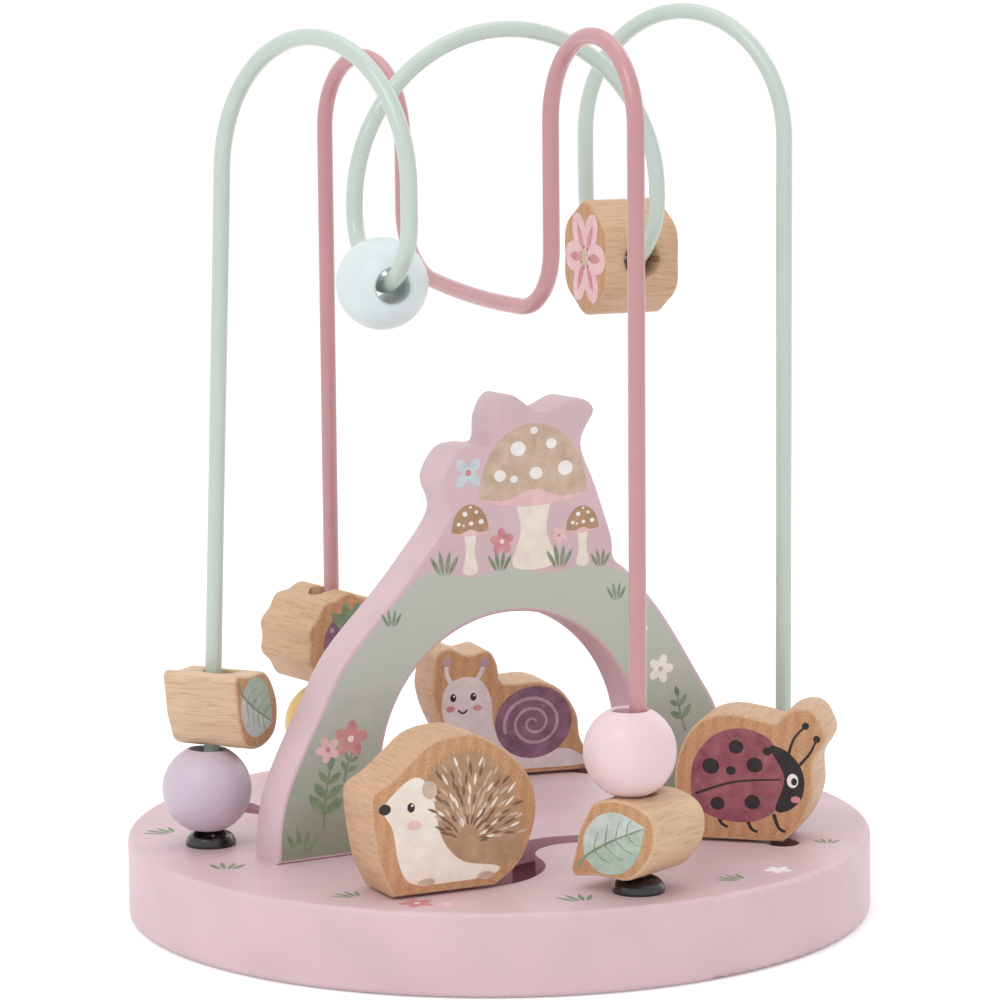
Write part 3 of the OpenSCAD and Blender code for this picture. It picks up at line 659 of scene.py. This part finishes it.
def hedgehog_shapes():
    shapes = []
    dome = []
    for i in range(72):
        a = math.radians(-8 + 176 * i / 71)
        r = 1.0 if i % 2 else 0.93
        dome.append((3.0 + 16.8 * r * math.cos(a), 11.0 + 25.2 * r * math.sin(a)))
    dome += curve([(-12.4, 13.0), (-7.0, 7.0), (4.0, 4.4), (14.0, 5.2), (18.6, 8.0)])
    shapes.append((dome, 1, BROWN))
    face = closed([(-19.6, 22.4), (-16.6, 26.4), (-12.0, 29.6), (-8.4, 29.0), (-5.6, 23.0), (-3.6, 14.0),
                   (2.0, 7.4), (12.0, 5.0), (10.0, 2.8), (0.0, 2.2), (-11.6, 2.8), (-15.4, 8.0),
                   (-17.0, 17.0)])
    shapes.append((face, 2, CREAM))
    for row in range(7):
        for k in range(15):
            a = math.radians(4 + 162 * (k + 0.5 * (row % 2)) / 15 + draw.uniform(-3, 3))
            r = 0.2 + 0.108 * row
            x, y = 3.8 + 16.0 * r * math.cos(a), 11.5 + 23.6 * r * math.sin(a)
            if x < -7.5 + 0.3 * (28 - y):
                continue
            length = draw.uniform(2.6, 3.8)
            tip = math.degrees(a) + draw.uniform(-14, 14)
            shapes.append((leaf(x, y, length, 0.75, tip, 4), 3 + 0.1 * row,
                           draw.choice((TAN, DARK_BROWN, CREAM, DARK_BROWN))))
    shapes.append((ellipse(-19.2, 22.6, 1.6, 1.35), 4, INK))
    shapes.append((ellipse(-12.0, 22.4, 1.0, 1.2), 4, INK))
    shapes.append((ellipse(-11.7, 22.9, 0.32), 5, WHITE))
    shapes.append((ellipse(-11.2, 17.8, 1.9, 1.25), 3, BLUSH))
    shapes.append((ellipse(-6.8, 26.4, 2.0, 2.4, 20), 4, TAN))
    for x in (-8.0, 8.5):
        shapes.append((ellipse(x, 2.9, 2.4, 1.0), 4, TAN))
    return shapes


# Snail: a pale body with feelers to the left and a spiral shell

def snail_shapes():
    body = closed([(21.6, 1.8), (17.0, 6.2), (8.0, 6.8), (-2.0, 8.0), (-6.0, 15.0), (-6.6, 22.0),
                   (-9.4, 27.6), (-14.6, 29.2), (-19.8, 26.8), (-21.4, 20.8), (-19.6, 13.6), (-15.4, 6.6),
                   (-10.4, 1.8), (6.0, 1.4)])
    shapes = [(body, 1, LILAC)]
    shapes.append((ellipse(6.0, 14.8, 11.6, 10.4, 8, 40), 2, PLUM))
    turns = []
    for i in range(64):
        a = math.radians(200 - 900 * i / 63)
        r = 9.0 * (1 - i / 68)
        turns.append((6.0 + r * math.cos(a), 14.6 + r * 0.9 * math.sin(a)))
    shapes.append((stroke(turns, 1.0, 0.6), 3, PALE_PLUM))
    for line in ([(-18.0, 26.4), (-19.8, 30.4), (-19.6, 33.8)], [(-11.4, 27.4), (-9.6, 30.4), (-8.6, 33.0)]):
        shapes.append((stroke(curve(line), 1.4, 1.0), 2, LILAC))
        shapes.append((ellipse(*line[-1], 1.3), 3, PALE_PLUM))
    for x in (-18.0, -12.0):
        shapes.append((ellipse(x, 23.4, 0.9, 1.15), 3, INK))
        shapes.append((ellipse(x + 0.28, 23.8, 0.28), 4, WHITE))
    shapes.append((stroke(curve([(-16.6, 19.8), (-15.2, 18.8), (-13.8, 19.7)]), 0.5), 3, INK))
    for x in (-18.8, -10.8):
        shapes.append((ellipse(x, 20.2, 1.3, 0.9), 3, ROSE))
    return shapes


# Ladybird: a red dome with spots, a dark head to the right, feelers and feet

def ladybird_shapes():
    shapes = []
    for x, y in ((-9.0, 6.0), (-1.0, 5.0), (6.5, 5.4)):
        shapes.append((stroke(curve([(x, y + 2), (x + 1.4, y - 1.6), (x + 3.2, y - 2.6)]), 1.0, 0.7), 1, INK))
    wings = closed([(-15.8, 13.0), (-14.8, 21.4), (-9.4, 28.0), (-1.4, 30.0), (6.0, 26.8), (9.4, 18.6),
                    (8.0, 10.0), (2.0, 5.4), (-7.0, 5.2), (-13.6, 8.0)])
    head = closed([(5.4, 25.4), (10.6, 24.0), (14.4, 18.6), (14.0, 12.0), (10.0, 8.4), (7.0, 9.0),
                   (9.4, 17.4)])
    shapes += [(wings, 2, BERRY), (head, 3, INK)]
    shapes.append((stroke(curve([(-14.6, 12.0), (-4.0, 15.6), (8.4, 16.8)]), 0.7, 0.4), 4, INK))
    for x, y, r in ((-10.4, 19.6, 2.3), (-3.6, 25.0, 2.0), (1.4, 20.4, 2.2), (-5.0, 18.6, 1.3),
                    (-8.6, 9.6, 1.9), (0.8, 10.4, 2.1), (4.8, 24.2, 1.2)):
        shapes.append((ellipse(x, y, r, r * 0.92, n=20), 4, INK))
    shapes.append((ellipse(11.6, 16.6, 1.5, 1.9), 4, WHITE))
    shapes.append((ellipse(12.0, 16.4, 0.8, 1.0), 5, INK))
    shapes.append((ellipse(12.4, 11.6, 1.3, 0.9), 4, ROSE))
    for line in ([(10.4, 23.4), (12.0, 28.0), (15.0, 31.4)], [(13.2, 20.6), (16.2, 24.2), (18.0, 28.0)]):
        shapes.append((stroke(curve(line), 0.8, 0.5), 2, INK))
        shapes.append((ellipse(*line[-1], 0.95), 3, INK))
    return shapes


# Plan place of each block, the direction along it and its design
FACES = {
    "hedgehog": ((-48.21, -53.53), HEDGEHOG, hedgehog_shapes),
    "snail": ((36.0, 59.0), SNAIL, snail_shapes),
    "ladybird": ((50.553, -49.164), LADYBIRD, ladybird_shapes),
}
BLOCK_T, BLOCK_Z = 17.0, 22.2
for body, (at, a, shapes) in FACES.items():
    for side in (1, -1):
        n = plan(a - 90) * side
        place = Vector((at[0], at[1], BLOCK_Z)) + n * BLOCK_T / 2
        made = shapes()
        if side < 0:
            made = mirrored(made)
        name = body + ("_print" if side > 0 else "_print_back")
        decal(name, body, place, plan(a) * side, n, made)


# Panel: a sage arch with sprigs and blossoms, and toadstools on the lobed top

def arch_shapes():
    foot, inner, spring = 0.9, 40.6, 20.5
    ring = curve([(-69.4, foot), (-68.5, 11.7), (-65.1, 22.1), (-56.4, 38.3), (-48.5, 51.4), (-35.0, 65.3),
                  (-28.1, 71.6)])
    ring += curve([(-22.0, 73.0), (-12.0, 70.4), (0.0, 72.0), (12.0, 69.6), (24.0, 71.0), (30.6, 69.6)])
    ring += curve([(36.1, 66.9), (46.8, 54.7), (58.4, 36.9), (64.3, 27.0), (68.1, 14.2), (69.4, foot)])
    ring.append((inner, foot))
    ring += [(inner * math.cos(math.radians(t)), spring + inner * math.sin(math.radians(t)))
             for t in range(0, 181, 6)]
    ring.append((-inner, foot))
    shapes = [(ring, 0, SAGE)]
    # toadstools
    for x, y, w, h, stem, colour in ((7.2, 91.0, 16.5, 19.0, 19.0, TAN), (-12.2, 82.6, 5.6, 7.2, 11.0, BROWN),
                                     (22.4, 80.6, 5.0, 6.2, 9.5, BROWN)):
        s = w * 0.3
        stalk = closed([(x - s, y + 0.6), (x + s, y + 0.6), (x + s * 0.8, y - stem * 0.5),
                        (x + s * 1.25, y - stem), (x - s * 1.25, y - stem), (x - s * 0.8, y - stem * 0.5)])
        cap = [(x + w * math.cos(math.radians(t)), y + h * math.sin(math.radians(t)))
               for t in range(0, 181, 6)]
        cap += curve([(x - w, y), (x - w * 0.5, y - h * 0.05), (x, y + h * 0.08), (x + w * 0.5, y - h * 0.05),
                      (x + w, y)])[1:-1]
        shapes += [(stalk, 1, CREAM), (ellipse(x, y, w * 0.92, h * 0.16), 2, BLUSH), (cap, 3, colour)]
        for dx, dy, r in ((-0.62, 0.3, 0.11), (-0.28, 0.66, 0.14), (0.05, 0.3, 0.12), (0.34, 0.7, 0.1),
                          (0.6, 0.34, 0.14), (0.02, 0.9, 0.07), (-0.36, 0.24, 0.07)):
            shapes.append((ellipse(x + dx * w, y + dy * h, r * w, r * w * 0.85, n=16), 4, WHITE))
    for x, y, h in ((-20.0, 71.6, 7.0), (-3.2, 71.4, 6.0), (15.2, 70.8, 6.6), (28.0, 70.0, 5.0)):
        shapes += tuft(x, y, h, LEAF, 4)
    shapes += blossom(-2.6, 79.2, 3.4, 5, 20, ROSE, CREAM, 5)
    shapes += blossom(15.0, 79.4, 2.4, 5, 50, BLUSH, ROSE, 5)
    shapes += blossom(-12.6, 98.2, 4.4, 4, 45, PALE_BLUE, ROSE, 2)
    # sprigs and blossoms on the legs of the arch
    shapes += sprig(-57.0, 8.0, 17.0, 82, LEAF)
    shapes += blossom(-48.6, 31.0, 4.6, 5, 10, ROSE, CREAM, 2)
    shapes += blossom(-55.4, 28.8, 3.4, 5, 40, BLUSH, ROSE, 2)
    shapes += sprig(-50.8, 20.0, 8.0, 70, LEAF, 2)
    shapes += blossom(47.0, 40.0, 3.8, 5, 0, WHITE, TAN, 2)
    shapes += blossom(40.2, 50.6, 2.8, 5, 30, WHITE, TAN, 2)
    shapes += sprig(55.0, 22.0, 11.0, 104, LEAF, 2)
    for x, y, h in ((-63.0, 2.0, 8.0), (-46.0, 1.8, 7.0), (47.0, 1.8, 7.0), (62.0, 2.0, 8.0),
                    (-36.0, 59.4, 5.0), (33.0, 60.4, 5.0)):
        shapes += tuft(x, y, h, LEAF, 1)
    return shapes


DECK_Z, PANEL_X, PANEL_FRONT, PANEL_BACK = 21.4, -2.2, -11.0, 2.0
decal("panel_print", "base", (PANEL_X, PANEL_FRONT, DECK_Z), (1, 0, 0), (0, -1, 0),
      arch_shapes())
decal("panel_print_back", "base", (PANEL_X, PANEL_BACK, DECK_Z), (-1, 0, 0), (0, 1, 0),
      mirrored(arch_shapes()))


# Deck: small sprigs and blossoms between the slots

deck = []
for x, y, h, a in ((-86, -8, 8, 60), (-72, -52, 7, 100), (-26, -86, 8, 80), (20, -88, 7, 110),
                   (62, -66, 6, 60), (84, -8, 8, 120), (70, 44, 7, 75), (24, 86, 8, 100), (-40, 80, 7, 80),
                   (-80, 38, 8, 110)):
    deck += tuft(x, y, h, LEAF, 1, a)
for x, y, r, c in ((-62, -66, 4.2, ROSE), (-56, -71, 3.2, BLUSH), (34, -84, 3.4, WHITE), (88, 10, 3.6, ROSE),
                   (58, 66, 3.4, WHITE), (-64, 58, 3.8, ROSE), (6, -62, 3.2, WHITE), (18, 20, 3.4, ROSE),
                   (-28, 22, 3.0, WHITE)):
    deck += blossom(x, y, r, 5, draw.uniform(0, 72), c, CREAM, 1)
decal("deck_print", "base", (0, 0, DECK_Z), (1, 0, 0), (0, 0, 1), deck)


# Beads: a leaf, a berry and a flower on the ends

def leaf_shapes(up):
    """Two-toned leaf on its stem, the other way up where up is negative."""
    c, s = math.cos(math.radians(27)), math.sin(math.radians(27))
    over = [(-10.0, 0.0), (-7.6, 5.0), (-1.6, 7.8), (5.2, 6.4), (11.4, 0.2)]
    under = [(11.4, 0.2), (5.4, -6.0), (-1.2, -7.6), (-7.4, -5.0), (-10.0, 0.0)]
    rib = curve([(-13.0, -1.8), (-10.0, 0.0), (-2.0, 0.7), (5.0, 0.5), (11.0, 0.2)])
    shapes = [(curve(over) + curve(under)[1:-1], 1, PALE_LEAF),
              (curve(under) + rib[7:-1], 2, SOFT_LEAF), (stroke(rib, 0.9, 0.3), 3, LEAF)]
    for k in range(4):
        for side in (-1, 1):
            x = -6.4 + 3.8 * k
            vein = [(x, 0.5), (x + 1.6, side * 2.6), (x + 3.4, side * (4.9 - 0.7 * abs(k - 1)))]
            shapes.append((stroke(vein, 0.34, 0.16), 3.2, LEAF))
    return [([(x * c - y * s, up * (x * s + y * c) - 0.8 * up) for x, y in pts], layer, m)
            for pts, layer, m in shapes]


def berry_shapes():
    shapes = [(ellipse(0.8, -0.6, 9.6, 9.6, n=40), 1, PLUM)]
    for k in range(26):
        a, r = k * 2.39996, 1.72 * math.sqrt(k + 0.4)
        shapes.append((ellipse(0.8 + r * math.cos(a), -0.6 + r * math.sin(a), 0.75, n=12), 2, PALE_PLUM))
    for a in (70, 105, 140):
        shapes.append((leaf(0.4, 3.4, 8.4, 3.6, a), 3, LEAF))
    return shapes


def flower_shapes():
    shapes = []
    for k in range(6):
        a = 60 * k
        x, y = 7.6 * math.cos(math.radians(a)), 7.6 * math.sin(math.radians(a))
        shapes.append((ellipse(x, y, 6.0, 4.2, a, 24), 1 + 0.2 * (k % 2), BLUSH))
        mark = leaf(1.6 * math.cos(math.radians(a)), 1.6 * math.sin(math.radians(a)), 9.0, 2.6, a)
        shapes.append((mark, 2, ROSE))
    shapes.append((ellipse(0, 0, 2.3, n=20), 3, TAN))
    for k in range(7):
        a = 2 * math.pi * k / 7
        shapes.append((ellipse(3.0 * math.cos(a), 3.0 * math.sin(a), 0.45, n=8), 3, BERRY))
    return shapes


# Name, body, place of the bead, its upright direction, how far up the design's middle is, the direction
# of the printed end, half the bead's length and the design
UP = Vector((0, 0, 1))
HALF_LEAF, HALF_BERRY, HALF_FLOWER = 10.5, 13.0, 10.75
BEAD_FACES = [
    ("leaf_left_print", "left_leaf", (-73.807, 19.659, 47.727), LEAN, HALF_LEAF,
     BEADS["leaf_bead_left"][1], HALF_LEAF, leaf_shapes(-1)),
    ("leaf_front_print", "front_leaf", (-7.475, -82.725, 25.27), UP, HALF_LEAF,
     BEADS["leaf_bead_front"][1], HALF_LEAF, leaf_shapes(1)),
    ("berry_print", "berry", (-9.775, 81.525, 61.977), UP, 0.0,
     BEADS["berry_bead"][1], HALF_BERRY, berry_shapes()),
    ("flower_print", "flower", (50.25, 17.25, 171.776), UP, 0.0,
     BEADS["flower_bead"][1], HALF_FLOWER, flower_shapes()),
]
for name, body, at, rise, lift, n, half, shapes in BEAD_FACES:
    for side in (1, -1):
        face = n * side
        u = rise.cross(face).normalized()
        made = shapes if side > 0 else mirrored(shapes)
        place = Vector(at) + rise * lift + face * half
        decal(name + ("" if side > 0 else "_back"), body, place, u, face, made)


# Floor, light and camera

def stage_plane(name, half, z):
    me = bpy.data.meshes.new(name)
    corners = [(-half, -half, z), (half, -half, z), (half, half, z), (-half, half, z)]
    me.from_pydata(corners, [], [(0, 1, 2, 3)])
    o = bpy.data.objects.new(name, me)
    bpy.context.scene.collection.objects.link(o)
    return o


def seen_directly(tree):
    """One for rays from the camera and for those that a mirror or glass sends on."""
    path = tree.nodes.new("ShaderNodeLightPath")
    out = path.outputs["Is Camera Ray"]
    for kind in ("Is Glossy Ray", "Is Transmission Ray"):
        most = tree.nodes.new("ShaderNodeMath")
        most.operation = "MAXIMUM"
        tree.links.new(out, most.inputs[0])
        tree.links.new(path.outputs[kind], most.inputs[1])
        out = most.outputs["Value"]
    return out


def scaled(tree, value, factor, offset=0.0):
    n = tree.nodes.new("ShaderNodeMath")
    n.operation = "MULTIPLY_ADD"
    tree.links.new(value, n.inputs[0])
    n.inputs[1].default_value = factor
    n.inputs[2].default_value = offset
    return n.outputs["Value"]


# Strength of the world on the object, the floor's colour and how bright the floor is seen
AMBIENT, FLOOR_GREY, FLOOR_SEEN = 0.79, 0.97, 1.02
floor = stage_plane("floor", 40.0, -0.0002)
floor_mat, tree, bsdf = new_material("floor")
bsdf.inputs["Base Color"].default_value = (FLOOR_GREY, FLOOR_GREY, FLOOR_GREY, 1.0)
bsdf.inputs["Roughness"].default_value = 0.9
bsdf.inputs["Specular IOR Level"].default_value = 0.1
bsdf.inputs["Emission Color"].default_value = (1.0, 1.0, 1.0, 1.0)
glow = scaled(tree, seen_directly(tree), FLOOR_SEEN - FLOOR_GREY * AMBIENT)
tree.links.new(glow, bsdf.inputs["Emission Strength"])
floor.data.materials.append(floor_mat)

scene = bpy.context.scene
world = bpy.data.worlds.new("studio")
scene.world = world
world.use_nodes = True
world.node_tree.nodes["Background"].inputs["Color"].default_value = (1.0, 1.0, 1.0, 1.0)
world.node_tree.links.new(scaled(world.node_tree, seen_directly(world.node_tree), 1.0 - AMBIENT, AMBIENT),
                          world.node_tree.nodes["Background"].inputs["Strength"])


def softbox(name, at, target, width, height, power):
    li = bpy.data.lights.new(name, "AREA")
    li.shape = "RECTANGLE"
    li.size, li.size_y = width, height
    li.energy = power
    o = bpy.data.objects.new(name, li)
    o.location = at
    o.rotation_euler = (Vector(target) - Vector(at)).to_track_quat("-Z", "Y").to_euler()
    scene.collection.objects.link(o)


# Name, place, target, width, height and power of each lamp
LAMPS = [
    ("key", (-0.9, -0.5, 1.1), (0, 0, 0.08), 0.7, 0.7, 4),
    ("top", (0.1, 0.2, 1.4), (0, 0, 0.05), 0.9, 0.9, 2.4),
    ("rim", (0.9, 0.3, 0.6), (0, 0, 0.1), 0.4, 0.8, 0.8),
]
for lamp in LAMPS:
    softbox(*lamp)

# The photo's view: its place, and its heading, pitch and roll
PITCH, YAW, ROLL, TURN = 0.14048, 0.00093, 0.00866, math.radians(30)
CAM_BACK, CAM_HEIGHT = 1.05879, 0.25971
right = Vector((math.cos(YAW), -math.sin(YAW), 0))
ahead = Vector((math.sin(YAW) * math.cos(PITCH), math.cos(YAW) * math.cos(PITCH), -math.sin(PITCH)))
up = right.cross(ahead)
right, up = right * math.cos(ROLL) - up * math.sin(ROLL), up * math.cos(ROLL) + right * math.sin(ROLL)
turn = Matrix.Rotation(-TURN, 3, "Z")
cam_data = bpy.data.cameras.new("camera")
cam_data.sensor_width = 36
cam_data.lens = 144
cam = bpy.data.objects.new("camera", cam_data)
scene.collection.objects.link(cam)
axes = Matrix((turn @ right, turn @ up, turn @ -ahead)).transposed()
cam.matrix_world = Matrix.Translation(turn @ Vector((0, -CAM_BACK, CAM_HEIGHT))) @ axes.to_4x4()
cam_data.clip_start, cam_data.clip_end = 0.01, 200
scene.camera = cam

scene.view_settings.view_transform = "Standard"
